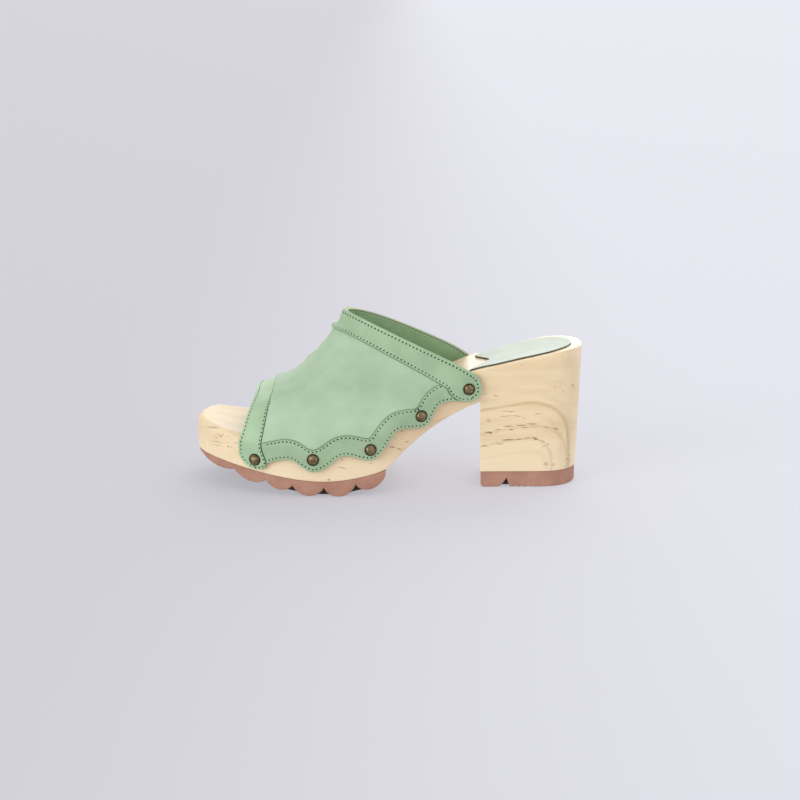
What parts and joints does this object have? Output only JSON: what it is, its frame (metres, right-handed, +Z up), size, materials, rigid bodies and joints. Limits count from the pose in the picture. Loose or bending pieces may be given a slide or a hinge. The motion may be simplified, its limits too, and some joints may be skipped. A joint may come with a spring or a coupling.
{
  "type": "leather mule",
  "caption": "Open-toed, open-backed leather clog mule with banded edges and a scalloped, studded rand on a carved wooden platform sole with block heel and rubber treads.",
  "frame": {"origin": "bottom centre of the bounding box, on the floor under the middle of the shoe", "axes": "+X from the toe to the heel, +Y towards the inner (medial) side of the foot, +Z up"},
  "size_m": [0.2363, 0.1039, 0.1061],
  "materials": {
    "pale_wood": "smooth sanded pale wood with fine grain",
    "salmon_rubber": "matt moulded rubber",
    "sock_leather": "thin smooth pale leather",
    "mint_nubuck": "soft nubuck with a fine nap",
    "green_leather": "smooth leather, pricked along its edges",
    "antique_brass": "dark antiqued brass"
  },
  "bodies": {
    "root": {"wood_sole": "pale_wood", "forefoot_outsole": "salmon_rubber", "heel_lift": "salmon_rubber", "heel_sock": "sock_leather", "vamp_upper": "mint_nubuck", "toe_band": "green_leather", "collar_band": "green_leather", "rand_lateral": "green_leather", "rand_medial": "green_leather", "stud_lateral_1": "antique_brass", "stud_lateral_2": "antique_brass", "stud_lateral_3": "antique_brass", "stud_lateral_4": "antique_brass", "stud_lateral_5": "antique_brass", "stud_medial_1": "antique_brass", "stud_medial_2": "antique_brass", "stud_medial_3": "antique_brass", "stud_medial_4": "antique_brass", "stud_medial_5": "antique_brass"}
  },
  "joints": []
}
